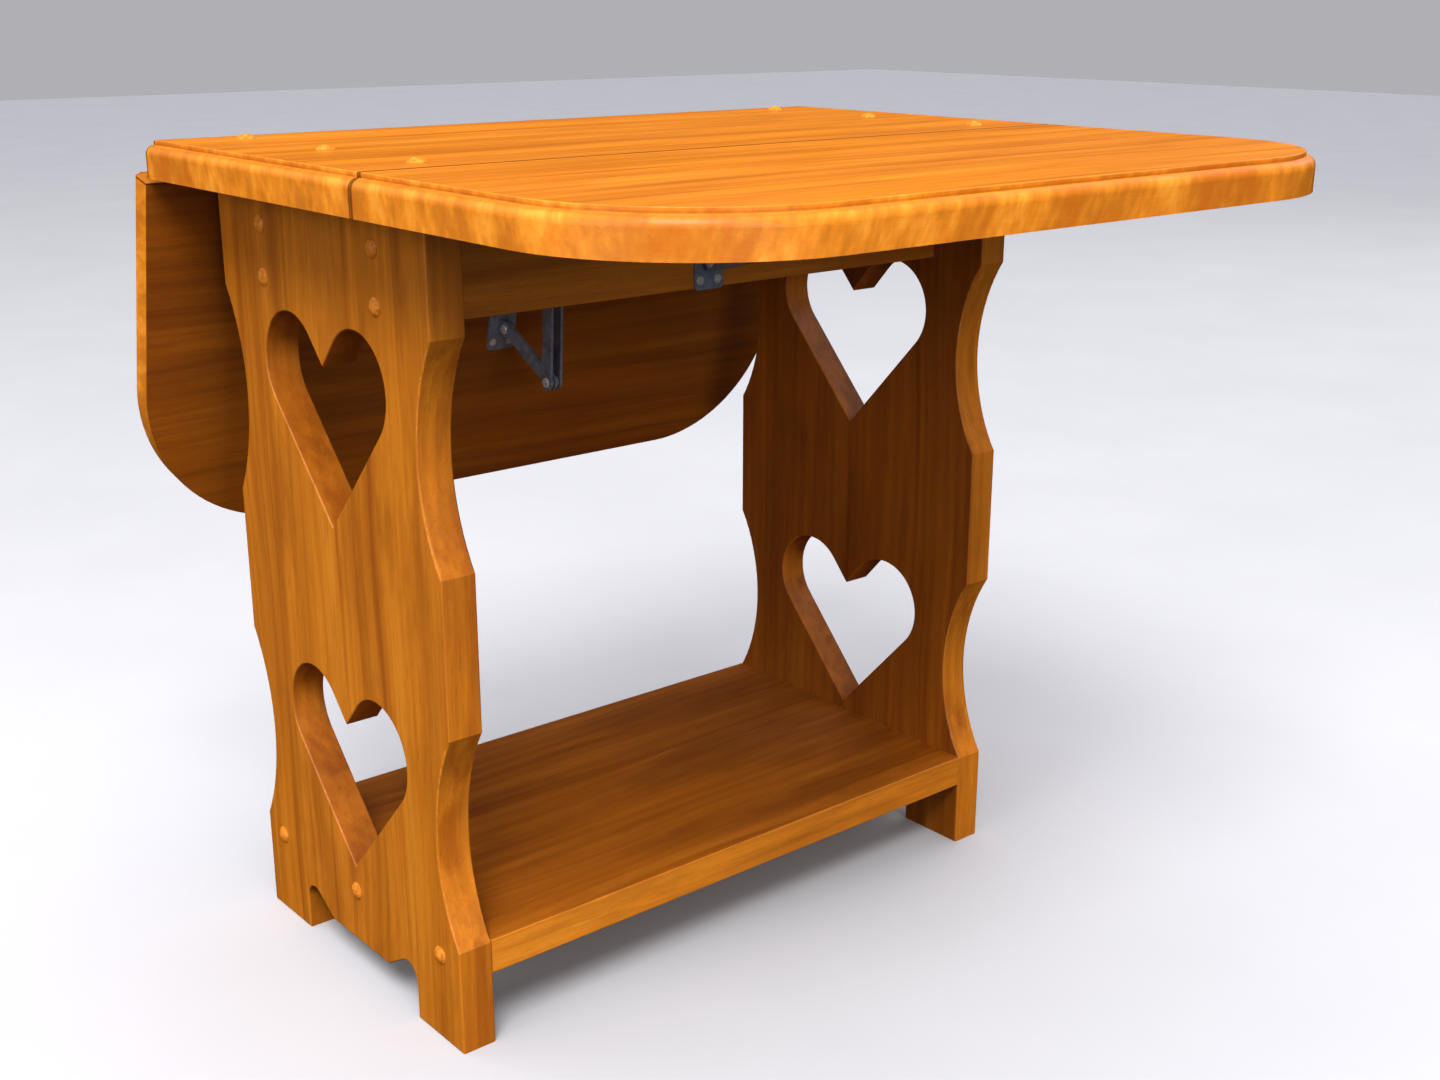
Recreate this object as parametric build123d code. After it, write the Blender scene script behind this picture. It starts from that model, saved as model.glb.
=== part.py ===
from build123d import *
import os
from math import acos, asin, atan2, cos, degrees, dist, hypot, radians, sin, sqrt

# A drop-leaf table. Two end panels with heart cut-outs carry a fixed centre board,
# two rails and a low shelf. A leaf is hinged to each long side of the centre board
# and is held up by a folding steel stay. The front leaf is up and locked, and the
# back leaf hangs on its folded stay.
#
# X runs along the table, -Y is the front, +Z is up and the floor is z = 0.
# Everything is drawn about the middle of the base, and write() moves it so that the
# origin is the middle of the whole table's box, on the floor.

os.makedirs("parts", exist_ok=True)

# ---------------------------------------------------------------- driving dimensions
table_height = 740
board_t = 32
base_length = 640
foot_width = 350
top_length = 760
leaf_depth = 349.5
seam_gap = 2
seam_arris = 1.2
seam_overhang = 4
arris = 1.5

# end panel
scoop_depth = 27.5
lower_scoop = (96, 288)
upper_scoop = (424, 612)
foot_inner = 101
arch_flat = 51
arch_height = 30.5
arch_ear_r = 15
arch_spring = 34

# heart cut-out, measured from its lower tip
heart_lobe_r = 47.5
heart_lobe_y = 56
heart_lobe_z = 129.6
heart_notch_z = 138.6
heart_tips = (106.7, 426.7)

# rails and shelf
rail_y = 96
rail_height = 96
shelf_z = 66

# top and leaves
corner_r = 150
ovolo_r = 8
step_h = 4
step_edge_r = 1

# wooden plugs over countersunk wood screws
plug_r = 8
plug_depth = 8
plug_rim = 0.6
plug_dome = 4.2
slot_width_share = 0.28
slot_depth_share = 0.45
wood_screw = dict(head_r=4.5, shank_r=2.5, length=60)
rail_plug_rows = (628, 673)
shelf_plug_spread = 144
top_plug_spread = 143

# butt hinges
hinge_x = 230
hinge_width = 60
hinge_plate_t = 2
hinge_plate_reach = 34
barrel_r = 4
barrel_clearance = 0.5
barrel_drop = 4.5
pin_r = 2
middle_knuckle = 20
knuckle_gap = 0.3
running_fit = 0.05
hinge_screw = dict(head_r=3.2, shank_r=1.6, length=18)
hinge_screw_spots = ((-20, 14), (0, 26), (20, 14))

# folding stays
hang_angle = 76.7
stay_reach = 178
pivot_offset = 12
stay_pivot_drop = 71
upper_share = 0.63
arm_width = 16
arm_t = 2.5
lower_arm_t = 3
ear_t = 2.4
ear_inner = 1.8
strap_inner = 4.5
bush_half = 4.2
rivet_r = 2.5
rivet_head_r = 5
rivet_head_h = 1.8
rivet_edge_r = 1.44
bush_r = 6
bush_neck_r = 4
spacer_r = 3
spacer_share = 0.4
bracket_width = 32
bracket_height = 52
bracket_t = 2.5
bracket_corner_r = 4
bracket_screw_across = 10
bracket_screw_along = 17.5
stay_screw = dict(head_r=4, shank_r=2, length=20)

# ---------------------------------------------------------------- worked-out places
underside = table_height - board_t
inner_x = base_length / 2 - board_t
seam_y = foot_width / 2 + seam_overhang
hinge_z = underside - barrel_drop
rail_face = rail_y + board_t / 2
back_reach = (
    seam_y
    + (seam_gap / 2 + leaf_depth - ovolo_r) * cos(radians(hang_angle))
    + (board_t + barrel_drop) * sin(radians(hang_angle))
)
front_reach = seam_y + seam_gap / 2 + leaf_depth
to_footprint_centre = Pos(0, (front_reach - back_reach) / 2, 0)
on_end = (Align.CENTER, Align.CENTER, Align.MIN)

# stay pivots in the (y, z) plane of a table's back half, with the leaf up
hinge_point = (seam_y, hinge_z)
rail_pivot = (rail_face + pivot_offset, underside - stay_pivot_drop)
leaf_pivot = (seam_y + stay_reach, underside - pivot_offset)
stay_length = dist(rail_pivot, leaf_pivot)
upper_length = upper_share * stay_length
lower_length = stay_length - upper_length


def turned(point, centre, angle):
    """A (y, z) point turned by angle degrees about a centre, from +Y towards +Z."""
    dy, dz = point[0] - centre[0], point[1] - centre[1]
    c, s = cos(radians(angle)), sin(radians(angle))
    return (centre[0] + dy * c - dz * s, centre[1] + dy * s + dz * c)


def heading(start, end):
    """The direction from one (y, z) point to another, in degrees from +Y."""
    return degrees(atan2(end[1] - start[1], end[0] - start[0]))


hung_pivot = turned(leaf_pivot, hinge_point, -hang_angle)
hung_span = dist(rail_pivot, hung_pivot)
rail_corner = degrees(
    acos((upper_length**2 + hung_span**2 - lower_length**2) / (2 * upper_length * hung_span))
)
folded_upper = heading(rail_pivot, hung_pivot) - rail_corner
hung_elbow = (
    rail_pivot[0] + upper_length * cos(radians(folded_upper)),
    rail_pivot[1] + upper_length * sin(radians(folded_upper)),
)
straight = heading(rail_pivot, leaf_pivot)
upper_turn = straight - folded_upper
lower_turn = straight - 180 - heading(hung_pivot, hung_elbow) - hang_angle


# ---------------------------------------------------------------- small helpers
def write(name, *pieces):
    """Write one node: one solid, or a group of separate ones."""
    solids = [solid for piece in pieces for solid in piece.solids()]
    shape = solids[0] if len(solids) == 1 else Compound(solids)
    export_step(to_footprint_centre * shape, f"parts/{name}.step")


def block(x, y, z):
    """A box between (low, high) pairs along each axis."""
    size = (x[1] - x[0], y[1] - y[0], z[1] - z[0])
    return Pos(x[0], y[0], z[0]) * Box(*size, align=Align.MIN)


def rod(radius, x_low, x_high, y=0, z=0):
    """A round bar along X."""
    bar = extrude(Plane.YZ * Pos(y, z) * Circle(radius), x_high - x_low)
    return Pos(x_low, 0, 0) * bar


def facing(point, direction):
    """A place at a point whose Z axis leaves along a direction."""
    return Plane(origin=point, z_dir=direction).location


def front_half(piece):
    """The same piece on the front side of the table."""
    return Rot(0, 0, 180) * piece


# ---------------------------------------------------------------- plugs and screws
def plug():
    """A domed button plug in its counterbore: Z leaves the face, z = 0 is the face."""
    barrel = Pos(0, 0, -plug_depth) * Cylinder(plug_r, plug_depth + plug_dome, align=on_end)
    dome_rise = plug_dome - plug_rim
    dome_r = (plug_r**2 + dome_rise**2) / (2 * dome_rise)
    return barrel & Pos(0, 0, plug_dome - dome_r) * Sphere(dome_r)


def screw(head_r, shank_r, length, slotted=True):
    """A countersunk wood screw pointing down, with its head's face at z = 0."""
    head_h = head_r - shank_r
    tip = 2 * shank_r
    profile = make_face(
        Polyline(
            (0, 0),
            (head_r, 0),
            (shank_r, -head_h),
            (shank_r, tip - length),
            (0, -length),
            (0, 0),
        )
    )
    body = revolve(Plane.XZ * profile, Axis.Z)
    if slotted:
        slot_w = slot_width_share * head_r
        slot_d = slot_depth_share * head_h
        body -= block((-head_r, head_r), (-slot_w / 2, slot_w / 2), (-slot_d, 1))
    return body


def screw_hole(head_r, shank_r, length):
    """The space a countersunk screw fills."""
    return screw(head_r, shank_r, length, slotted=False)


def plugged(places):
    """Plugs, screws and the holes for both, for a list of frames on wooden faces."""
    sunk = Pos(0, 0, -plug_depth)
    plugs = [place * plug() for place in places]
    screws = [place * sunk * screw(**wood_screw) for place in places]
    bore = Pos(0, 0, -plug_depth) * Cylinder(plug_r, plug_depth + 1, align=on_end)
    cutter = bore + sunk * screw_hole(**wood_screw)
    return plugs, screws, [place * cutter for place in places]


def end_places(side):
    """Frames of the rail, shelf and top plugs at one end: side is -1 or 1."""
    face_x = side * base_length / 2
    out = (side, 0, 0)
    rails = [facing((face_x, y, z), out) for y in (-rail_y, rail_y) for z in rail_plug_rows]
    shelf_mid = shelf_z + board_t / 2
    shelf = [facing((face_x, step * shelf_plug_spread, shelf_mid), out) for step in (-1, 0, 1)]
    over_panel = side * (base_length / 2 - board_t / 2)
    top = [
        facing((over_panel, step * top_plug_spread, table_height), (0, 0, 1))
        for step in (-1, 0, 1)
    ]
    return {"rail": rails, "shelf": shelf, "top": top}


# ---------------------------------------------------------------- end panels
def touch(start, centre, radius, side):
    """Where a line from a point touches a circle: side 1 is to the left, -1 to the right."""
    dy, dz = centre[0] - start[0], centre[1] - start[1]
    reach = hypot(dy, dz)
    angle = atan2(dz, dy) + side * asin(radius / reach)
    run = sqrt(reach**2 - radius**2)
    return (start[0] + run * cos(angle), start[1] + run * sin(angle))


def heart(tip_z):
    """A heart: two round lobes, straight sides down to the tip and up from the notch."""
    lobe = (heart_lobe_y, heart_lobe_z)
    notch = (0, heart_notch_z)
    low = touch((0, 0), lobe, heart_lobe_r, -1)
    high = touch(notch, lobe, heart_lobe_r, 1)
    crown = (heart_lobe_y + heart_lobe_r, heart_lobe_z)
    half = Line((0, 0), low) + ThreePointArc(low, crown, high) + Line(high, notch)
    return Pos(0, tip_z) * make_face(half + mirror(half, Plane.YZ))


def scoop(heights):
    """One circular scoop in a panel's edge."""
    edge = foot_width / 2
    middle = sum(heights) / 2
    return ThreePointArc((edge, heights[0]), (edge - scoop_depth, middle), (edge, heights[1]))


def panel_outline():
    """The end panel's outline across the table: feet, arch, scooped edges."""
    edge = foot_width / 2
    ear_y = foot_inner - arch_ear_r
    slope_foot = (arch_flat, arch_height)
    slope_head = touch(slope_foot, (ear_y, arch_spring), arch_ear_r, 1)
    ear_top = (ear_y, arch_spring + arch_ear_r)
    half = Polyline((0, arch_height), slope_foot, slope_head)
    half += ThreePointArc(slope_head, ear_top, (foot_inner, arch_spring))
    half += Polyline((foot_inner, arch_spring), (foot_inner, 0), (edge, 0), (edge, lower_scoop[0]))
    half += scoop(lower_scoop)
    half += Line((edge, lower_scoop[1]), (edge, upper_scoop[0]))
    half += scoop(upper_scoop)
    half += Polyline((edge, upper_scoop[1]), (edge, underside), (0, underside))
    return make_face(half + mirror(half, Plane.YZ))


def eased(panel, low, high):
    """Round the edges of both broad faces between two heights, inside the outline."""
    broad_faces = panel.faces().filter_by(Axis.X).sort_by(Axis.X)
    edges = broad_faces[0].edges() + broad_faces[-1].edges()
    reach = heart_lobe_y + heart_lobe_r
    chosen = [e for e in edges if low < e.center().Z < high and abs(e.center().Y) < reach]
    return fillet(chosen, arris)


def end_panel():
    """One end panel, with the edges of its outline and of its hearts eased."""
    panel = extrude(Plane.YZ * panel_outline(), board_t)
    broad_faces = panel.faces().filter_by(Axis.X).sort_by(Axis.X)
    panel = fillet(broad_faces[0].edges() + broad_faces[-1].edges(), arris)
    for tip in heart_tips:
        panel -= extrude(Plane.YZ * heart(tip), board_t)
        panel = eased(panel, tip, tip + heart_lobe_z + heart_lobe_r)
    return panel


# ---------------------------------------------------------------- shelf and rails
def long_board(y, z):
    """A board between the end panels, with its long edges eased."""
    piece = block((-inner_x, inner_x), y, z)
    return fillet(piece.edges().filter_by(Axis.X), arris)


# ---------------------------------------------------------------- top and leaves
def moulded(outline):
    """A board with an ovolo and a small step worked round its upper edge."""
    lower = extrude(outline, board_t - step_h)
    rim = lower.faces().sort_by(Axis.Z)[-1].edges()
    lower = fillet(rim, ovolo_r)
    inset = offset(outline, -ovolo_r)
    upper = extrude(Pos(0, 0, board_t - step_h) * inset, step_h)
    upper = fillet(upper.faces().sort_by(Axis.Z)[-1].edges(), step_edge_r)
    return Pos(0, 0, underside) * (lower + upper)


def seam_edge(y):
    """What is planed off a seam's upper edge: a square bar turned on its corner."""
    side = seam_arris * sqrt(2)
    bar = Rot(45, 0, 0) * Box(2 * top_length, side, side)
    return Pos(0, y, table_height) * bar


def centre_board():
    """The fixed middle of the top: moulded ends, square seams with eased edges."""
    half_width = seam_y - seam_gap / 2
    spare = 3 * ovolo_r
    board = moulded(Rectangle(top_length, 2 * (half_width + spare)))
    keep = block(
        (-top_length, top_length), (-half_width, half_width), (underside - 1, table_height + 1)
    )
    board = board & keep
    return board - seam_edge(-half_width) - seam_edge(half_width)


def leaf():
    """The back leaf, up: round outer corners, moulded on its three free sides."""
    seam = seam_y + seam_gap / 2
    outer = seam + leaf_depth
    spare = 3 * ovolo_r
    outline = Pos(0, seam - spare) * Rectangle(
        top_length, leaf_depth + spare, align=(Align.CENTER, Align.MIN)
    )
    outline = fillet(outline.vertices().group_by(Axis.Y)[-1], corner_r)
    keep = block((-top_length, top_length), (seam, outer + 1), (underside - 1, table_height + 1))
    return (moulded(outline) & keep) - seam_edge(seam)


# ---------------------------------------------------------------- hinges
def hinge_plate(side, middle_knuckled):
    """A hinge plate under the boards: side -1 reaches inwards, 1 outwards."""
    clear = barrel_r + barrel_clearance
    y_span = sorted((seam_y, seam_y + side * hinge_plate_reach))
    strap_y = sorted((seam_y, seam_y + side * clear))
    z_span = (underside - hinge_plate_t, underside)
    half = hinge_width / 2
    mid = middle_knuckle / 2
    plate = block((-half, half), y_span, z_span)
    plate -= rod(clear, -half - 1, half + 1, seam_y, hinge_z)
    if middle_knuckled:
        spans = [(knuckle_gap - mid, mid - knuckle_gap)]
    else:
        spans = [(-half, -mid), (mid, half)]
    for span in spans:
        plate += block(span, strap_y, z_span) + rod(barrel_r, *span, seam_y, hinge_z)
    bore_r = pin_r + running_fit if middle_knuckled else pin_r
    return plate - rod(bore_r, -half - 1, half + 1, seam_y, hinge_z)


def hinge_screw_places(side):
    """Frames of a plate's three countersunk screws, heads facing down."""
    face_z = underside - hinge_plate_t
    down = (0, 0, -1)
    return [facing((x, seam_y + side * y, face_z), down) for x, y in hinge_screw_spots]


# ---------------------------------------------------------------- folding stays
def arm(start, end, x_span):
    """A flat steel arm with round ends, drilled at both pivots."""
    bar = make_face(SlotCenterToCenter(dist(start, end), arm_width).edges())
    middle = ((start[0] + end[0]) / 2, (start[1] + end[1]) / 2)
    flat = Pos(*middle) * Rot(0, 0, heading(start, end)) * bar
    return Pos(x_span[0], 0, 0) * extrude(Plane.YZ * flat, x_span[1] - x_span[0])


def bored(piece, points, radius):
    """Drill a piece along X at (y, z) points."""
    for y, z in points:
        piece -= rod(radius, -bracket_width, bracket_width, y, z)
    return piece


def mirrored_pair(piece):
    """A piece and its mirror image across the stay's middle plane."""
    return [piece, mirror(piece, Plane.YZ)]


def ear(y, z, foot):
    """One bracket ear round a pivot, reaching back to its plate through a foot box."""
    cheek = rod(arm_width / 2, ear_inner, ear_inner + ear_t, y, z)
    return cheek + block((ear_inner, ear_inner + ear_t), *foot)


def rail_bracket():
    """Plate on the rail's outer face with two ears for the upper arm."""
    y, z = rail_pivot
    half_w = bracket_width / 2
    half_h = bracket_height / 2
    plate = block((-half_w, half_w), (rail_face, rail_face + bracket_t), (z - half_h, z + half_h))
    plate = fillet(plate.edges().filter_by(Axis.Y), bracket_corner_r)
    foot = ((rail_face, y), (z - arm_width / 2, z + arm_width / 2))
    for side in mirrored_pair(ear(y, z, foot)):
        plate += side
    return bored(plate, [rail_pivot], rivet_r)


def leaf_bracket():
    """Plate under the leaf with two ears for the lower arm."""
    y, z = leaf_pivot
    half_w = bracket_width / 2
    half_l = bracket_height / 2
    plate = block((-half_w, half_w), (y - half_l, y + half_l), (underside - bracket_t, underside))
    plate = fillet(plate.edges().filter_by(Axis.Z), bracket_corner_r)
    foot = ((y - arm_width / 2, y + arm_width / 2), (z, underside))
    for side in mirrored_pair(ear(y, z, foot)):
        plate += side
    return bored(plate, [leaf_pivot], rivet_r)


def bracket_screw_places(y, z, out, along):
    """Frames of a bracket's four screws round a point on its plate."""
    places = []
    for across in (-1, 1):
        for step in (-1, 1):
            dy, dz = (step * bracket_screw_along * part for part in along)
            places.append(facing((across * bracket_screw_across, y + dy, z + dz), out))
    return places


def rivet(point, half_length, shank_r):
    """A rivet along X with a domed head on both ends."""
    y, z = point
    shank = rod(shank_r, -half_length, half_length, y, z)
    head = rod(rivet_head_r, half_length, half_length + rivet_head_h, y, z)
    head = fillet(head.edges().sort_by(Axis.X)[-1], rivet_edge_r)
    for side in mirrored_pair(head):
        shank += side
    return shank


def elbow_rivets(point):
    """The elbow rivet's two ends, each in one strap and short of the bush between."""
    y, z = point
    strap_outer = strap_inner + arm_t
    head = rod(rivet_head_r, strap_outer, strap_outer + rivet_head_h, y, z)
    head = fillet(head.edges().sort_by(Axis.X)[-1], rivet_edge_r)
    return mirrored_pair(head + rod(rivet_r, strap_inner, strap_outer, y, z))


# ---------------------------------------------------------------- base
holes = []
for name, side in (("left", -1), ("right", 1)):
    for kind, places in end_places(side).items():
        plugs, screws, cutters = plugged(places)
        holes += cutters
        write(f"{name}_{kind}_plugs", *plugs)
        write(f"{name}_{kind}_screws", *screws)


def drilled(piece, cutters):
    """Cut every hole that meets a piece."""
    box = piece.bounding_box()
    for cutter in cutters:
        reach = cutter.bounding_box()
        apart = (
            reach.min.X > box.max.X
            or reach.max.X < box.min.X
            or reach.min.Y > box.max.Y
            or reach.max.Y < box.min.Y
            or reach.min.Z > box.max.Z
            or reach.max.Z < box.min.Z
        )
        if not apart:
            piece -= cutter
    return piece


panel = end_panel()
left_panel = Pos(-base_length / 2, 0, 0) * panel
right_panel = Pos(inner_x, 0, 0) * panel
write("left_end_panel", drilled(left_panel, holes))
write("right_end_panel", drilled(right_panel, holes))

shelf = long_board((-foot_width / 2, foot_width / 2), (shelf_z, shelf_z + board_t))
write("lower_shelf", drilled(shelf, holes))

# ---------------------------------------------------------------- one side's metalwork
fixed_screws = []
leaf_screws = []
hinge_sets = {}
for name, x in (("left", -hinge_x), ("right", hinge_x)):
    place = Pos(x, 0, 0)
    fixed_frames = [place * frame for frame in hinge_screw_places(-1)]
    leaf_frames = [place * frame for frame in hinge_screw_places(1)]
    fixed_plate = place * hinge_plate(-1, middle_knuckled=False)
    leaf_plate = place * hinge_plate(1, middle_knuckled=True)
    for frame in fixed_frames:
        fixed_plate -= frame * screw_hole(**hinge_screw)
    for frame in leaf_frames:
        leaf_plate -= frame * screw_hole(**hinge_screw)
    fixed_screws += fixed_frames
    leaf_screws += leaf_frames
    pin = place * rod(pin_r, -hinge_width / 2, hinge_width / 2, seam_y, hinge_z)
    hinge_sets[name] = (fixed_plate, leaf_plate, pin)

rail_frames = bracket_screw_places(rail_face + bracket_t, rail_pivot[1], (0, 1, 0), (0, 1))
leaf_frames = bracket_screw_places(leaf_pivot[0], underside - bracket_t, (0, 0, -1), (1, 0))
rail_plate = drilled(rail_bracket(), [f * screw_hole(**stay_screw) for f in rail_frames])
leaf_plate = drilled(leaf_bracket(), [f * screw_hole(**stay_screw) for f in leaf_frames])

elbow = (
    rail_pivot[0] + upper_length * cos(radians(straight)),
    rail_pivot[1] + upper_length * sin(radians(straight)),
)
spacer_point = (
    rail_pivot[0] + spacer_share * upper_length * cos(radians(straight)),
    rail_pivot[1] + spacer_share * upper_length * sin(radians(straight)),
)
strap = arm(rail_pivot, elbow, (strap_inner, strap_inner + arm_t))
strap = bored(strap, [rail_pivot], rivet_r + running_fit)
strap = bored(strap, [elbow], rivet_r)
strap = bored(strap, [spacer_point], rivet_r)
lower_arm = arm(elbow, leaf_pivot, (-lower_arm_t / 2, lower_arm_t / 2))
lower_arm = bored(lower_arm, [leaf_pivot], rivet_r + running_fit)
lower_arm = bored(lower_arm, [elbow], bush_neck_r)
bush = rod(bush_r, -bush_half, -lower_arm_t / 2, *elbow)
bush += rod(bush_r, lower_arm_t / 2, bush_half, *elbow)
bush += rod(bush_neck_r, -bush_half, bush_half, *elbow)
spacer = rivet(spacer_point, strap_inner + arm_t, rivet_r)
spacer += rod(spacer_r, -strap_inner, strap_inner, *spacer_point)


# ---------------------------------------------------------------- poses of the two sides
def turn_about(piece, point, angle):
    """Turn a piece about the X-wise line through a (y, z) point."""
    y, z = point
    return Pos(0, y, z) * Rot(angle, 0, 0) * Pos(0, -y, -z) * piece


def hung(piece):
    """A leaf-borne piece with the leaf hanging on its folded stay."""
    return turn_about(piece, hinge_point, -hang_angle)


def folded_up(piece):
    """An upper-arm piece with the stay folded."""
    return turn_about(piece, rail_pivot, -upper_turn)


def folded_low(piece):
    """A lower-arm piece with the stay folded."""
    return hung(turn_about(piece, leaf_pivot, -lower_turn))


def as_drawn(piece):
    """The stay straight and the leaf up, as drawn above."""
    return piece


leaf_board = leaf()
for frame in leaf_screws:
    leaf_board -= frame * screw_hole(**hinge_screw)
for frame in leaf_frames:
    leaf_board -= frame * screw_hole(**stay_screw)
rail = long_board((rail_y - board_t / 2, rail_face), (underside - rail_height, underside))
rail = drilled(rail, holes)
for frame in rail_frames:
    rail -= frame * screw_hole(**stay_screw)

middle = drilled(centre_board(), holes)
for frame in fixed_screws:
    middle -= frame * screw_hole(**hinge_screw)
    middle -= front_half(frame * screw_hole(**hinge_screw))
write("centre_board", middle)

sides = {
    "front": (front_half, as_drawn, as_drawn, as_drawn),
    "back": (as_drawn, hung, folded_up, folded_low),
}
for side, (half, leaf_pose, upper_pose, lower_pose) in sides.items():
    write(f"{side}_leaf", half(leaf_pose(leaf_board)))
    write(f"{side}_rail", half(rail))
    for name, (fixed_plate, hinge_leaf_plate, pin) in hinge_sets.items():
        end = name if side == "back" else {"left": "right", "right": "left"}[name]
        write(f"{side}_{end}_hinge_fixed_plate", half(fixed_plate))
        write(f"{side}_{end}_hinge_leaf_plate", half(leaf_pose(hinge_leaf_plate)))
        write(f"{side}_{end}_hinge_pin", half(pin))
    fixed = [half(frame * screw(**hinge_screw)) for frame in fixed_screws]
    moving = [half(leaf_pose(frame * screw(**hinge_screw))) for frame in leaf_screws]
    write(f"{side}_hinge_fixed_screws", *fixed)
    write(f"{side}_hinge_leaf_screws", *moving)
    write(f"{side}_stay_rail_bracket", half(rail_plate))
    write(f"{side}_stay_rail_screws", *[half(f * screw(**stay_screw)) for f in rail_frames])
    write(f"{side}_stay_rail_rivet", half(rivet(rail_pivot, strap_inner + arm_t, rivet_r)))
    straps = [half(upper_pose(piece)) for piece in mirrored_pair(strap)]
    write(f"{side}_stay_upper_arm", *straps)
    write(f"{side}_stay_spacer", half(upper_pose(spacer)))
    write(f"{side}_stay_elbow_rivet", *[half(upper_pose(r)) for r in elbow_rivets(elbow)])
    write(f"{side}_stay_lower_arm", half(lower_pose(lower_arm)))
    write(f"{side}_stay_elbow_bush", half(lower_pose(bush)))
    write(f"{side}_stay_leaf_bracket", half(leaf_pose(leaf_plate)))
    write(f"{side}_stay_leaf_screws", *[half(leaf_pose(f * screw(**stay_screw))) for f in leaf_frames])
    write(f"{side}_stay_leaf_rivet", half(leaf_pose(rivet(leaf_pivot, ear_inner + ear_t, rivet_r))))

# The turns that the joints need, and where the joints are in the table's own frame.
shift = to_footprint_centre.position.Y
print(f"base middle y {shift:.3f}")
print(f"leaf turn {hang_angle:.3f}, upper arm turn {upper_turn:.3f}, lower arm turn {lower_turn:.3f}")
for name, point in (
    ("back hinge", hinge_point),
    ("back rail pivot", rail_pivot),
    ("back leaf pivot, hung", hung_pivot),
    ("front hinge", (-hinge_point[0], hinge_point[1])),
    ("front rail pivot", (-rail_pivot[0], rail_pivot[1])),
    ("front leaf pivot, up", (-leaf_pivot[0], leaf_pivot[1])),
):
    print(f"{name}: y {point[0] + shift:.3f} z {point[1]:.3f}")
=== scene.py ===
import math

import bpy
from mathutils import Matrix, Vector


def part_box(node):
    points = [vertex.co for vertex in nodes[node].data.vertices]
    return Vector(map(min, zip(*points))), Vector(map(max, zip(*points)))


# Looks for the drop-leaf table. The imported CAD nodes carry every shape; this script
# gives them wood and steel, and adds the floor, the light and the camera.
# Lengths are in metres, and the scales of patterns are in repeats per metre.

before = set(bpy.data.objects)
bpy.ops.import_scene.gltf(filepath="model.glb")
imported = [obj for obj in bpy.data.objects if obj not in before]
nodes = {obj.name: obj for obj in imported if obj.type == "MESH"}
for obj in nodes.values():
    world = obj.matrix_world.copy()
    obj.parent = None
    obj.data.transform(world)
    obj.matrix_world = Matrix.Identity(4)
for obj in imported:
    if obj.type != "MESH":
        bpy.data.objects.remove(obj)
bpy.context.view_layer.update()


# ------------------------------------------------------------------ node helpers
def shade(colour, factor):
    """A colour made lighter or darker."""
    return tuple(channel * factor for channel in colour)


def opaque(colour):
    """A colour with full alpha, as colour sockets take it."""
    return (*colour, 1.0)


def set_stops(ramp, stops):
    """Fill a colour ramp: stops are (place, colour) pairs."""
    while len(ramp.elements) < len(stops):
        ramp.elements.new(0.5)
    for element, (place, colour) in zip(ramp.elements, stops):
        element.position = place
        element.color = opaque(colour)


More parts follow.
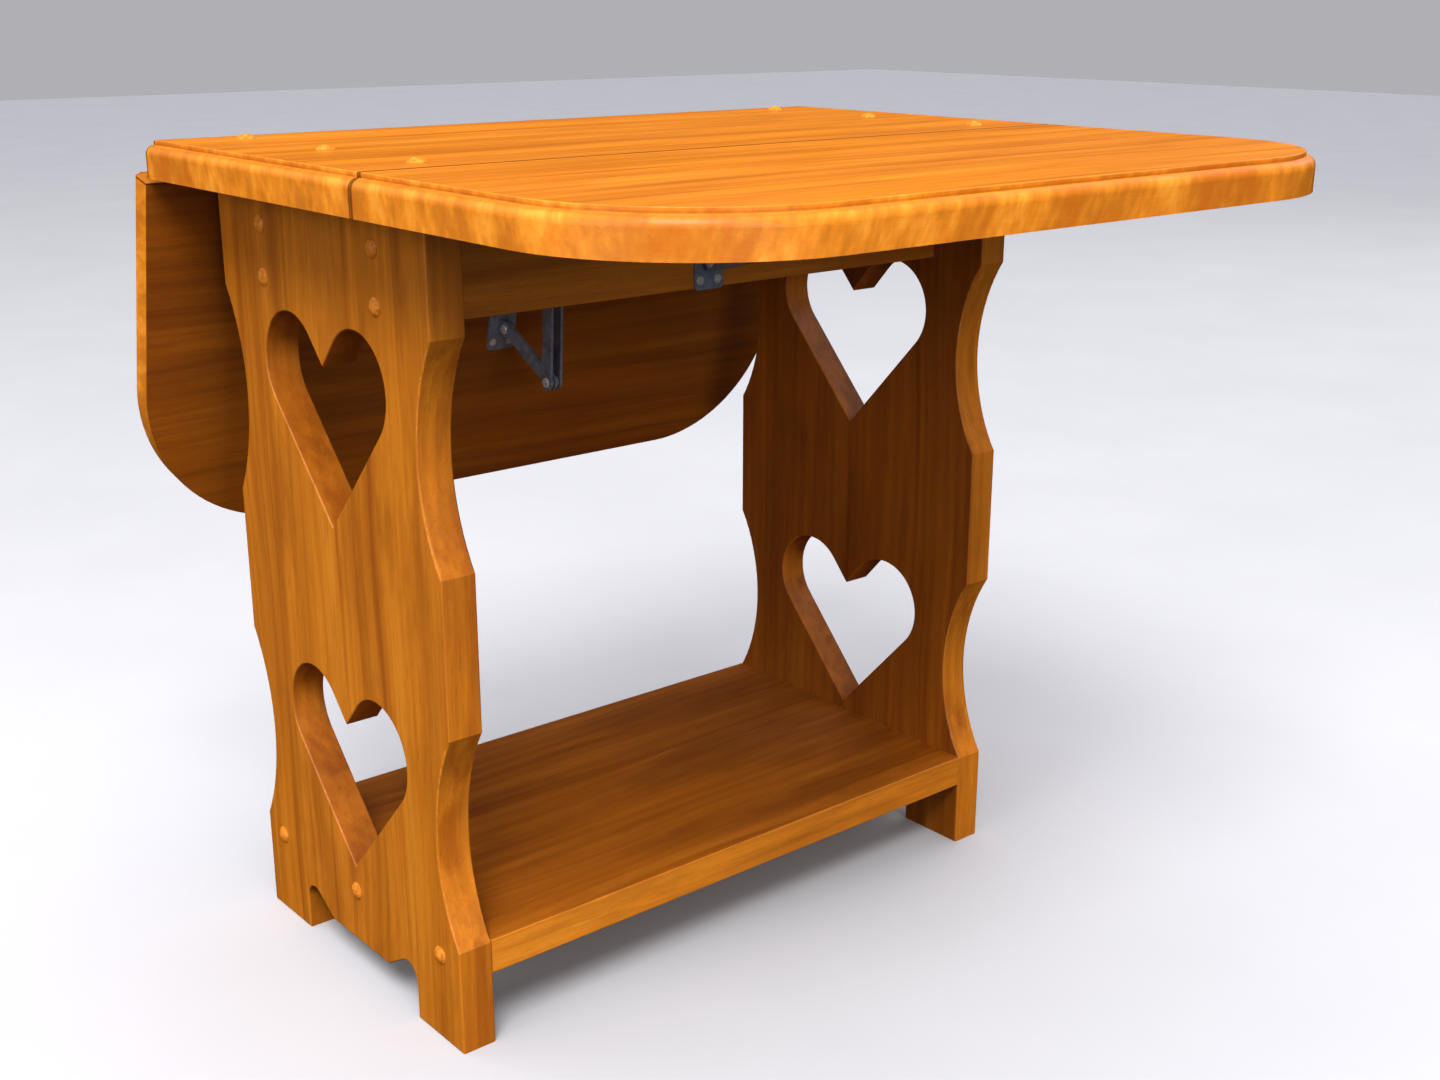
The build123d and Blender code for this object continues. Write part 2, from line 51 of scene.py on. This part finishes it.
class Graph:
    """A material's node tree with short ways to add and join nodes."""

    def __init__(self, name):
        self.material = bpy.data.materials.new(name)
        self.material.use_nodes = True
        self.tree = self.material.node_tree
        self.tree.nodes.clear()
        output = self.tree.nodes.new("ShaderNodeOutputMaterial")
        self.shader = self.tree.nodes.new("ShaderNodeBsdfPrincipled")
        self.tree.links.new(self.shader.outputs[0], output.inputs["Surface"])

    def put(self, socket, value):
        """Join a socket to an output, or set its own value."""
        if isinstance(value, bpy.types.NodeSocket):
            self.tree.links.new(value, socket)
        else:
            socket.default_value = value

    def add(self, kind, inputs=None, **settings):
        """A node with its settings and inputs."""
        node = self.tree.nodes.new("ShaderNode" + kind)
        for key, value in settings.items():
            setattr(node, key, value)
        for key, value in (inputs or {}).items():
            self.put(node.inputs[key], value)
        return node

    def math(self, operation, a, b=0.0):
        """Arithmetic on one or two factors."""
        return self.add("Math", {0: a, 1: b}, operation=operation).outputs[0]

    def weighted(self, pairs):
        """The sum of factors times their weights."""
        total = None
        for factor, weight in pairs:
            part = self.math("MULTIPLY", factor, weight)
            total = part if total is None else self.math("ADD", total, part)
        return total

    def part(self, vector, axis):
        """One coordinate of a vector."""
        return self.add("SeparateXYZ", {"Vector": vector}).outputs[axis]

    def facing(self, normal, axis):
        """1 where the surface faces along the axis, either way, and 0 square to it."""
        return self.math("ABSOLUTE", self.part(normal, axis))

    def away(self, place, axis, value):
        """The distance along an axis from a value."""
        return self.math("ABSOLUTE", self.math("SUBTRACT", self.part(place, axis), value))

    def mapping(self, vector, **inputs):
        """A vector scaled, turned and moved, in that order."""
        return self.add("Mapping", {"Vector": vector, **inputs}).outputs[0]

    def noise(self, vector, scale, detail=3.0, roughness=0.55):
        """Noise that is alike in all directions."""
        inputs = {"Vector": vector, "Scale": scale, "Detail": detail, "Roughness": roughness}
        return self.add("TexNoise", inputs).outputs["Fac"]

    def streaks(self, vector, scales, offset=(0.0, 0.0, 0.0), detail=3.0, roughness=0.55):
        """Noise with its own scale along each axis."""
        stretched = self.mapping(vector, Scale=scales, Location=offset)
        return self.noise(stretched, 1.0, detail, roughness)

    def ramp(self, factor, stops):
        """A colour ramp: stops are (place, colour) pairs."""
        node = self.add("ValToRGB", {"Fac": factor})
        set_stops(node.color_ramp, stops)
        return node.outputs["Color"]

    def fade(self, factor, low, high, to_low=0.0, to_high=1.0):
        """A factor mapped from low..high to to_low..to_high, clamped."""
        inputs = {
            "Value": factor,
            "From Min": low,
            "From Max": high,
            "To Min": to_low,
            "To Max": to_high,
        }
        return self.add("MapRange", inputs, clamp=True).outputs["Result"]

    def mix(self, factor, under, over, blend="MIX"):
        """The colour under, covered by the colour over as far as factor says."""
        node = self.add("Mix", data_type="RGBA", blend_type=blend)
        self.put(node.inputs[0], factor)
        self.put(node.inputs[6], under)
        self.put(node.inputs[7], over)
        return node.outputs[2]

    def finish(self, colour, roughness, relief, strength, distance, **sockets):
        """Join colour, roughness and relief, and set the shader's own sockets."""
        self.put(self.shader.inputs["Base Color"], colour)
        self.put(self.shader.inputs["Roughness"], roughness)
        bump = self.add("Bump", {"Height": relief, "Strength": strength, "Distance": distance})
        self.put(self.shader.inputs["Normal"], bump.outputs[0])
        for name, value in sockets.items():
            self.shader.inputs[name.replace("_", " ")].default_value = value
        return self.material


# ------------------------------------------------------------------ wood
STRAW = (0.88, 0.330, 0.029)
HONEY = (0.72, 0.220, 0.0125)
AMBER = (0.50, 0.128, 0.0060)
UMBER = (0.26, 0.056, 0.0030)

SEED_SHIFT = 0.731                   # how far along the log a seed of 1 moves a board
FIBRE_BEND = 0.036                   # how far the fibres swing across a board
RING_LEAN = 0.06                     # the rings' lean through a board, along it
RING_RAGGED = 0.9                    # how far streaks move a ring, in ring pitches
SAWN_TINT = (1.14, 1.12, 1.05)       # the panels' sawn edges
CUT_OUT_DARK_TINT = (0.66, 0.60, 0.52)     # darkens the sawn edges inside their cut-outs
CUT_OUT_REACH = (0.100, 0.110)       # from a panel's middle: cut-outs end, no more darkening
STEP_SHADOW_REACH = (0.0008, 0.0022)        # painted shadow line at the foot of the moulding's step: full, gone
SEAM_REACH = (0.0012, 0.0026)        # wax at a joint of two boards: full, gone


def growth_rings(g, fibre_place, streak, pith, pitch):
    """The late wood of growth rings, cut by the board's face into long arches."""
    pith_across, pith_through = pith
    parts = g.add("SeparateXYZ", {"Vector": fibre_place})
    across = g.math("SUBTRACT", parts.outputs["Y"], pith_across)
    lean = g.math("MULTIPLY", parts.outputs["X"], RING_LEAN)
    through = g.math("SUBTRACT", g.math("ADD", parts.outputs["Z"], lean), pith_through)
    spot = g.add("CombineXYZ", {"X": across, "Y": through}).outputs[0]
    radius = g.add("VectorMath", {0: spot}, operation="LENGTH").outputs["Value"]
    ragged = g.math("MULTIPLY", streak, RING_RAGGED)
    growth = g.math("FRACT", g.math("ADD", g.math("DIVIDE", radius, pitch), ragged))
    late = g.fade(growth, 0.35, 0.92)
    return g.math("MULTIPLY", late, g.fade(growth, 0.93, 1.0, 1.0, 0.0))


def figure(g, place, seed):
    """Light and dark flecks where a moulding cuts across the grain."""
    skewed = g.mapping(place, Rotation=(0.35, -0.45, 0.2))
    fleck = g.streaks(skewed, (120.0, 120.0, 30.0), (seed, 0.0, 0.0))
    blotch = g.streaks(skewed, (26.0, 26.0, 13.0), (0.0, seed, 0.0), detail=2.5)
    broad = g.streaks(place, (6.0, 6.0, 6.0), (seed, seed, 0.0), detail=2.0)
    return g.ramp(
        g.weighted([(fleck, 0.30), (blotch, 0.42), (broad, 0.28)]),
        [
            (0.40, shade(AMBER, 1.10)),
            (0.465, shade(HONEY, 0.82)),
            (0.53, shade(HONEY, 1.06)),
            (0.60, shade(STRAW, 1.02)),
        ],
    )


def sawn_edges(g, body, place, normal, tone, middle):
    """A panel's sawn edges: lighter, with end grain, and darker inside the cut-outs."""
    # end grain soaks up varnish where a cut runs across the fibres
    end_grain = g.fade(g.facing(normal, "Z"), 0.45, 0.95, 0.0, 0.45)
    speck = g.streaks(place, (500.0, 500.0, 120.0))
    soaked = g.ramp(speck, [(0.35, shade(UMBER, tone)), (0.65, shade(AMBER, tone))])
    body = g.mix(end_grain, body, soaked)
    # sawn edges are a little lighter than the broad faces
    sawn = g.fade(g.facing(normal, "X"), 0.3, 0.8, 1.0, 0.0)
    body = g.mix(sawn, body, opaque(SAWN_TINT), "MULTIPLY")
    # darker inside the hearts and the foot arch, which are nearer the middle
    inside = g.fade(g.away(place, "Y", middle), *CUT_OUT_REACH, 1.0, 0.0)
    cut_out_dark = g.math("MULTIPLY", sawn, inside)
    return g.mix(cut_out_dark, body, opaque(CUT_OUT_DARK_TINT), "MULTIPLY")


def moulded_edge(g, body, place, normal, tone, seed, step_foot):
    """Figure on a board's moulding, and a painted shadow line along the foot of its step."""
    side = g.fade(g.facing(normal, "Z"), 0.80, 0.985, 0.92, 0.0)
    body = g.mix(side, body, figure(g, place, seed))
    # painted shadow line: the strip just below the step's foot is darkened, as the step would
    # shade it
    near = g.fade(g.away(place, "Z", step_foot), *STEP_SHADOW_REACH, 0.55, 0.0)
    step_shadow = g.math("MULTIPLY", near, side)
    return g.mix(step_shadow, body, opaque(shade(AMBER, 0.55 * tone)))


def seam_wax(g, body, place, normal, seam):
    """Wax and dirt in the joint between two boards, most of all along its outline."""
    outline = g.fade(g.facing(normal, "Y"), 0.75, 0.90, 1.0, 0.55)
    near = g.fade(g.away(place, "Y", seam), *SEAM_REACH, 0.85, 0.0)
    wax = g.math("MULTIPLY", near, outline)
    return g.mix(wax, body, opaque(shade(UMBER, 0.35)))


def pine(
    name, along, seed, tone, pith, ring,
    level=None, stained=0.15, middle=None, step_foot=None, painted_shade=None, seams=(),
):
    """Varnished pine.

    along: the grain's axis, X for a lying board and Z for a standing panel
    seed: moves every pattern, so that no two boards are alike
    tone: how light the varnish is
    pith: where the heart of the log runs, across the board and through it
    ring: the growth rings' pitch
    level: the (rotation, shift) that brings a hanging board up
    stained: how strongly darker stains show
    middle: for a standing panel, the y of its middle
    step_foot: for a moulded board, the height of the foot of the moulding's step
    painted_shade: the (direction, tint) of painted shade, a darker tint on the faces that lie
    in shade
    seams: the y of each joint with another board
    """
    g = Graph(name)
    source = g.add("TexCoord")
    place, normal = source.outputs["Object"], source.outputs["Normal"]
    if level:
        turn, shift = level
        place = g.mapping(place, Rotation=turn, Location=shift)
        normal = g.mapping(normal, Rotation=turn)
    # grain coordinates: x along the grain, y across the board, z through it
    swing = {"X": (0.0, 0.0, 0.0), "Z": (0.0, math.radians(90), 0.0)}[along]
    grain = g.mapping(place, Rotation=swing, Location=(seed * SEED_SHIFT, 0.0, 0.0))
    # slow waves bend the fibres and the rings along the board
    wave = g.streaks(grain, (2.1, 6.0, 6.0), (seed * 1.3, seed * 0.7, 0.0), detail=2.0)
    bend = g.add("CombineXYZ", {"Y": g.math("MULTIPLY", wave, FIBRE_BEND)}).outputs[0]
    fibre_place = g.add("VectorMath", {0: grain, 1: bend}, operation="ADD").outputs[0]
    # each pattern's scales run along the grain, across the board and through it
    band = g.streaks(fibre_place, (1.1, 30.0, 30.0), (seed, seed, 0.0), detail=2.5)
    streak = g.streaks(fibre_place, (3.0, 110.0, 110.0), (0.0, seed, seed))
    fibre = g.streaks(fibre_place, (16.0, 520.0, 520.0), roughness=0.65)
    pore = g.streaks(fibre_place, (45.0, 1500.0, 1500.0), detail=2.0, roughness=0.6)
    mineral = g.streaks(fibre_place, (1.4, 62.0, 40.0), (seed, 0.0, seed), detail=2.0)
    cloud = g.streaks(grain, (4.0, 9.0, 9.0), (0.0, seed, 0.0))
    stain = g.streaks(grain, (5.0, 19.0, 19.0), (seed, 0.0, seed), 4.0, 0.62)
    late = growth_rings(g, fibre_place, streak, pith, ring)

    body = g.ramp(
        g.weighted([(band, 0.40), (streak, 0.34), (fibre, 0.15), (cloud, 0.11)]),
        [
            (0.37, shade(AMBER, 0.95 * tone)),
            (0.46, shade(HONEY, 0.86 * tone)),
            (0.54, shade(HONEY, 1.08 * tone)),
            (0.67, shade(STRAW, tone)),
        ],
    )
    for cover, colour in (
        (g.fade(stain, 0.50, 0.66, 0.0, stained), shade(AMBER, 0.72 * tone)),
        (g.math("MULTIPLY", late, 0.16), shade(AMBER, 0.8 * tone)),
        (g.fade(mineral, 0.60, 0.72, 0.0, 0.55), shade(UMBER, 1.3 * tone)),
        (g.fade(fibre, 0.53, 0.72, 0.0, 0.38), shade(UMBER, tone)),
        (g.fade(pore, 0.62, 0.70, 0.0, 0.40), shade(UMBER, 0.7 * tone)),
    ):
        body = g.mix(cover, body, opaque(colour))

    if middle is not None:
        body = sawn_edges(g, body, place, normal, tone, middle)
    if step_foot is not None:
        body = moulded_edge(g, body, place, normal, tone, seed, step_foot)
    # painted shade: faces that turn along the given direction are darkened by the tint, for
    # the shade they lie in
    if painted_shade:
        direction, tint = painted_shade
        towards = g.add("VectorMath", {0: normal, 1: direction}, operation="DOT_PRODUCT")
        turned = g.fade(towards.outputs["Value"], 0.5, 0.95)
        body = g.mix(turned, body, opaque(tint), "MULTIPLY")
    for seam in seams:
        body = seam_wax(g, body, place, normal, seam)

    worn = g.weighted([(cloud, 0.6), (streak, 0.4)])
    return g.finish(
        body,
        roughness=g.fade(worn, 0.35, 0.65, 0.52, 0.36),
        relief=g.weighted([(late, 0.25), (fibre, 0.5), (pore, 0.4)]),
        strength=0.30,
        distance=0.0005,
        Coat_Weight=0.10,
        Coat_Roughness=0.30,
        Specular_IOR_Level=0.25,
    )


def plug_wood(name, tone):
    """Turned button plugs: mottled end grain under varnish."""
    g = Graph(name)
    place = g.add("TexCoord").outputs["Object"]
    mottle = g.streaks(place, (260.0, 260.0, 260.0), detail=4.0)
    cloud = g.noise(place, 60.0, detail=2.0)
    body = g.ramp(
        mottle,
        [
            (0.32, shade(AMBER, 1.1 * tone)),
            (0.48, shade(HONEY, 1.05 * tone)),
            (0.66, shade(STRAW, 1.05 * tone)),
        ],
    )
    body = g.mix(g.fade(cloud, 0.4, 0.7, 0.0, 0.35), body, opaque(shade(AMBER, 1.2 * tone)))
    return g.finish(
        body,
        roughness=g.fade(cloud, 0.3, 0.7, 0.50, 0.58),
        relief=mottle,
        strength=0.25,
        distance=0.0003,
        Coat_Weight=0.06,
        Coat_Roughness=0.35,
        Specular_IOR_Level=0.22,
    )


# ------------------------------------------------------------------ steel
def steel(name, colour, worn, roughness, metallic, patches=70.0):
    """Plated steel: rolled streaks in the worn colour, dulled patches, dark specks."""
    g = Graph(name)
    place = g.add("TexCoord").outputs["Object"]
    patch = g.noise(place, patches, detail=4.0, roughness=0.6)
    rolled = g.streaks(place, (900.0, 90.0, 90.0))
    speck = g.noise(place, 900.0, detail=2.0)
    body = g.ramp(
        patch, [(0.3, shade(colour, 0.62)), (0.5, colour), (0.72, shade(colour, 1.25))]
    )
    body = g.mix(g.fade(rolled, 0.55, 0.8, 0.0, 0.5), body, opaque(worn))
    body = g.mix(g.fade(speck, 0.64, 0.72, 0.0, 0.6), body, opaque(shade(colour, 0.4)))
    return g.finish(
        body,
        roughness=g.fade(patch, 0.3, 0.7, roughness + 0.12, roughness - 0.08),
        relief=g.weighted([(rolled, 0.6), (speck, 0.4)]),
        strength=0.3,
        distance=0.0002,
        Metallic=metallic,
    )


# ------------------------------------------------------------------ dressing the nodes
HANG = math.radians(76.7)      # the back leaf's drop from level
SEAM_GAP = 0.002               # between the edges of neighbouring boards
STEP_DROP = 0.004              # from the top's surface to the foot of its edge's step
BOARD_TONE, SHELF_TONE, RAIL_TONE = 1.02, 0.97, 0.86
LEFT_PANEL_TONE, RIGHT_PANEL_TONE = 0.79, 0.84
BASE_STAINS = 0.5              # the shelf and the panels are more stained than the top
# painted shade: tints that darken the leaves' undersides, the shelf's top and the panels'
# inner faces, where the table's shade falls
UNDERSIDE_PAINTED_SHADE = ((0.0, 0.0, -1.0), (0.37, 0.32, 0.27))
SHELF_TOP_PAINTED_SHADE = ((0.0, 0.0, 1.0), (0.53, 0.46, 0.36))
INSIDE_PAINTED_SHADE = (0.56, 0.48, 0.37)


def dress(node, material):
    """Give a CAD node its material."""
    data = nodes[node].data
    data.materials.clear()
    data.materials.append(material)


def raised(pin_node):
    """The rotation and shift that bring the hanging leaf up about its hinge pin."""
    low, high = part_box(pin_node)
    pin = (low + high) / 2
    pin.x = 0.0
    shift = pin - Matrix.Rotation(HANG, 3, "X") @ pin
    return (HANG, 0.0, 0.0), tuple(shift)


def dress_top(low, high):
    """The centre board, whose box is low to high, and the leaves on both sides of it."""
    # the boards' undersides get painted shade
    moulding = {"step_foot": high.z - STEP_DROP, "painted_shade": UNDERSIDE_PAINTED_SHADE}
    dress(
        "centre_board",
        pine(
            "pine_centre", "X", 1.0, BOARD_TONE, (0.25, -0.13), 0.012,
            seams=(low.y, high.y), **moulding,
        ),
    )
    dress(
        "front_leaf",
        pine(
            "pine_front_leaf", "X", 2.7, BOARD_TONE, (-0.10, -0.20), 0.013,
            seams=(low.y - SEAM_GAP,), **moulding,
        ),
    )
    dress(
        "back_leaf",
        pine(
            "pine_back_leaf", "X", 5.1, BOARD_TONE, (0.62, 0.55), 0.012,
            level=raised("back_left_hinge_pin"), seams=(high.y + SEAM_GAP,), **moulding,
        ),
    )


def dress_base(middle):
    """The shelf, the rails and the end panels, whose middle is at this y."""
    # the shelf's top and the panels' inner faces get painted shade
    dress(
        "lower_shelf",
        pine(
            "pine_shelf", "X", 3.3, SHELF_TONE, (0.25, -0.10), 0.012,
            painted_shade=SHELF_TOP_PAINTED_SHADE, stained=BASE_STAINS,
        ),
    )
    dress("front_rail", pine("pine_front_rail", "X", 6.2, RAIL_TONE, (0.0, 0.60), 0.010))
    dress("back_rail", pine("pine_back_rail", "X", 7.4, RAIL_TONE, (0.0, 0.60), 0.010))
    dress(
        "left_end_panel",
        pine(
            "pine_left_panel", "Z", 4.4, LEFT_PANEL_TONE, (0.05, -0.10), 0.012,
            painted_shade=((1.0, 0.0, 0.0), INSIDE_PAINTED_SHADE), middle=middle, stained=BASE_STAINS,
        ),
    )
    dress(
        "right_end_panel",
        pine(
            "pine_right_panel", "Z", 8.9, RIGHT_PANEL_TONE, (0.16, 0.12), 0.012,
            painted_shade=((-1.0, 0.0, 0.0), INSIDE_PAINTED_SHADE), middle=middle, stained=BASE_STAINS,
        ),
    )


def dress_fittings():
    """The plugs, the fasteners, the hinges and the stays."""
    plug_top = plug_wood("plug_top", 1.02)
    plug_side = plug_wood("plug_side", 0.84)
    stay_blue = steel("steel_stay", (0.21, 0.24, 0.31), (0.42, 0.46, 0.52), 0.42, 0.3)
    hinge_grey = steel("steel_hinge", (0.42, 0.42, 0.42), (0.62, 0.60, 0.58), 0.36, 0.4)
    bright = steel(
        "steel_fastener", (0.66, 0.63, 0.58), (0.82, 0.80, 0.76), 0.30, 0.35, patches=140.0
    )
    for name in nodes:
        if name.endswith("_plugs"):
            dress(name, plug_top if "top" in name else plug_side)
        elif name.endswith(("_screws", "_rivet", "_pin", "_spacer")):
            dress(name, bright)
        elif "hinge" in name:
            dress(name, hinge_grey)
        elif "stay" in name:
            dress(name, stay_blue)


# ------------------------------------------------------------------ camera
CAMERA_OFFSET = (-0.9747, -1.2960, 0.8606)                  # from the base's middle
CAMERA_YAW, CAMERA_PITCH, CAMERA_ROLL = 0.6958, 0.3045, -0.0013     # radians
SENSOR_MM, LENS_MM = 36.0, 43.57
VIEW_END = 60.0


def place_camera():
    """The viewing angle, set from the base's own middle on the floor."""
    low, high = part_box("left_end_panel")
    base_y = (low.y + high.y) / 2
    data = bpy.data.cameras.new("camera")
    data.sensor_fit = "HORIZONTAL"
    data.sensor_width = SENSOR_MM
    data.lens = LENS_MM
    data.clip_end = VIEW_END
    camera = bpy.data.objects.new("camera", data)
    bpy.context.scene.collection.objects.link(camera)
    x, y, z = CAMERA_OFFSET
    camera.location = (x, base_y + y, z)
    camera.rotation_euler = (math.pi / 2 - CAMERA_PITCH, CAMERA_ROLL, -CAMERA_YAW)
    bpy.context.scene.camera = camera


# ------------------------------------------------------------------ floor and light
FLOOR_WIDTH = 28.0
# the dome's light from straight below (0) over the horizon (0.5) to straight above (1)
SKY = ((0.0, 0.08), (0.49, 0.08), (0.52, 0.13), (0.82, 0.48), (1.0, 2.10))
SKY_BLUE = 1.06                # blue against red and green in the dome's light
BACKDROP = (0.43, 0.43, 0.46)  # what the camera sees in place of the dome
LAMP_TARGET = (0.0, 0.1, 0.35)
WARM = (1.0, 0.99, 0.98)
LAMPS = (
    # name, place, width, watts, colour
    ("key_lamp", (-2.75, -2.6, 4.95), 2.8, 320.0, (1.0, 0.985, 0.97)),
    ("left_lamp", (-5.6, -0.6, 1.9), 3.0, 112.0, WARM),
    ("front_lamp", (-1.0, -5.7, 2.1), 3.0, 128.0, WARM),
    ("back_lamp", (-3.2, 4.2, 3.6), 3.0, 40.0, WARM),
    ("right_lamp", (5.0, 0.6, 3.2), 3.0, 38.0, WARM),
)


def make_floor():
    """A plain pale floor, faintly mottled, kept out of bounced light and reflections."""
    mesh = bpy.data.meshes.new("floor")
    half = FLOOR_WIDTH / 2
    corners = [(-half, -half, 0), (half, -half, 0), (half, half, 0), (-half, half, 0)]
    mesh.from_pydata(corners, [], [(0, 1, 2, 3)])
    floor = bpy.data.objects.new("floor", mesh)
    bpy.context.scene.collection.objects.link(floor)
    g = Graph("floor_paint")
    place = g.add("TexCoord").outputs["Object"]
    cloud = g.noise(place, 3.0, detail=4.0)
    paint = g.ramp(cloud, [(0.3, (0.565, 0.565, 0.59)), (0.7, (0.59, 0.59, 0.615))])
    mesh.materials.append(g.finish(paint, 0.75, cloud, strength=0.05, distance=0.001))
    floor.visible_diffuse = False
    floor.visible_glossy = False


def make_dome():
    """A soft dome, brightest straight above, kept out of reflections."""
    world = bpy.data.worlds.new("studio")
    world.use_nodes = True
    tree = world.node_tree
    background = tree.nodes["Background"]
    direction = tree.nodes.new("ShaderNodeTexCoord")
    axes = tree.nodes.new("ShaderNodeSeparateXYZ")
    tree.links.new(direction.outputs["Generated"], axes.inputs[0])
    height = tree.nodes.new("ShaderNodeMapRange")
    height.inputs["From Min"].default_value = -1.0
    tree.links.new(axes.outputs["Z"], height.inputs["Value"])
    dome = tree.nodes.new("ShaderNodeValToRGB")
    set_stops(dome.color_ramp, [(at, (grey, grey, SKY_BLUE * grey)) for at, grey in SKY])
    tree.links.new(height.outputs[0], dome.inputs[0])
    seen = tree.nodes.new("ShaderNodeLightPath")
    blend = tree.nodes.new("ShaderNodeMix")
    blend.data_type = "RGBA"
    tree.links.new(seen.outputs["Is Camera Ray"], blend.inputs[0])
    tree.links.new(dome.outputs[0], blend.inputs[6])
    blend.inputs[7].default_value = opaque(BACKDROP)
    tree.links.new(blend.outputs[2], background.inputs[0])
    world.cycles_visibility.glossy = False
    bpy.context.scene.world = world


def add_lamp(name, place, width, watts, colour):
    """A round soft lamp, aimed at the table."""
    data = bpy.data.lights.new(name, "AREA")
    data.shape = "DISK"
    data.size = width
    data.energy = watts
    data.color = colour
    lamp = bpy.data.objects.new(name, data)
    bpy.context.scene.collection.objects.link(lamp)
    lamp.location = place
    aim = Vector(LAMP_TARGET) - Vector(place)
    lamp.rotation_euler = aim.to_track_quat("-Z", "Y").to_euler()


# ------------------------------------------------------------------ the scene
board_low, board_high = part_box("centre_board")
dress_top(board_low, board_high)
dress_base((board_low.y + board_high.y) / 2)
dress_fittings()
place_camera()
make_floor()
make_dome()
for lamp in LAMPS:
    add_lamp(*lamp)
bpy.context.scene.view_settings.view_transform = "Standard"
